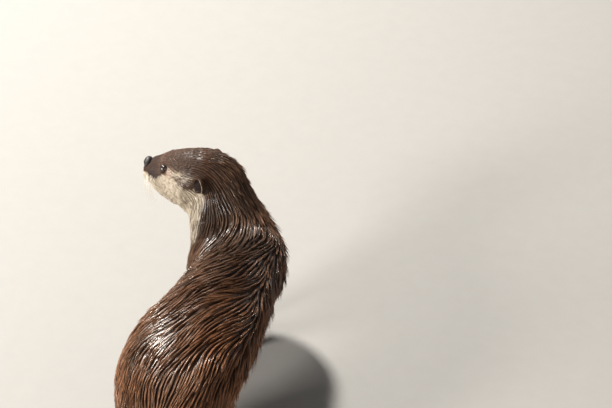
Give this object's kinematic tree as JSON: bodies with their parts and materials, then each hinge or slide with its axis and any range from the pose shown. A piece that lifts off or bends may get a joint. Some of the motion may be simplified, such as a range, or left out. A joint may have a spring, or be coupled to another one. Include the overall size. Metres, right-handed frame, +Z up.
{
  "type": "life-size river otter model",
  "caption": "Still life-size model of a river otter standing on all fours, neck raised and head turned to its left, with a long tapering tail resting on the floor.",
  "frame": {"origin": "on the floor, in the middle of the bounding box", "axes": "+Z up, +Y along the trunk from the tail to the shoulders; the head looks along -X"},
  "size_m": [0.2462, 0.856, 0.2558],
  "materials": {
    "fur": "short wet dark brown fur, pale on the throat and cheeks",
    "nose": "moist dark skin",
    "eye": "wet dark brown",
    "claw": "satin horn"
  },
  "bodies": {
    "root": {"chest": "fur", "head": "fur", "left_ear": "fur", "left_eye": "eye", "left_forearm": "fur", "left_forepaw": "fur", "left_forepaw_claw_1": "claw", "left_forepaw_claw_2": "claw", "left_forepaw_claw_3": "claw", "left_forepaw_claw_4": "claw", "left_forepaw_claw_5": "claw", "left_hind_foot": "fur", "left_hind_foot_claw_1": "claw", "left_hind_foot_claw_2": "claw", "left_hind_foot_claw_3": "claw", "left_hind_foot_claw_4": "claw", "left_hind_foot_claw_5": "claw", "left_shank": "fur", "left_thigh": "fur", "left_upper_arm": "fur", "loin": "fur", "neck": "fur", "nose": "nose", "right_ear": "fur", "right_eye": "eye", "right_forearm": "fur", "right_forepaw": "fur", "right_forepaw_claw_1": "claw", "right_forepaw_claw_2": "claw", "right_forepaw_claw_3": "claw", "right_forepaw_claw_4": "claw", "right_forepaw_claw_5": "claw", "right_hind_foot": "fur", "right_hind_foot_claw_1": "claw", "right_hind_foot_claw_2": "claw", "right_hind_foot_claw_3": "claw", "right_hind_foot_claw_4": "claw", "right_hind_foot_claw_5": "claw", "right_shank": "fur", "right_thigh": "fur", "right_upper_arm": "fur", "rump": "fur", "tail_base": "fur", "tail_middle": "fur", "tail_tip": "fur"}
  },
  "joints": []
}
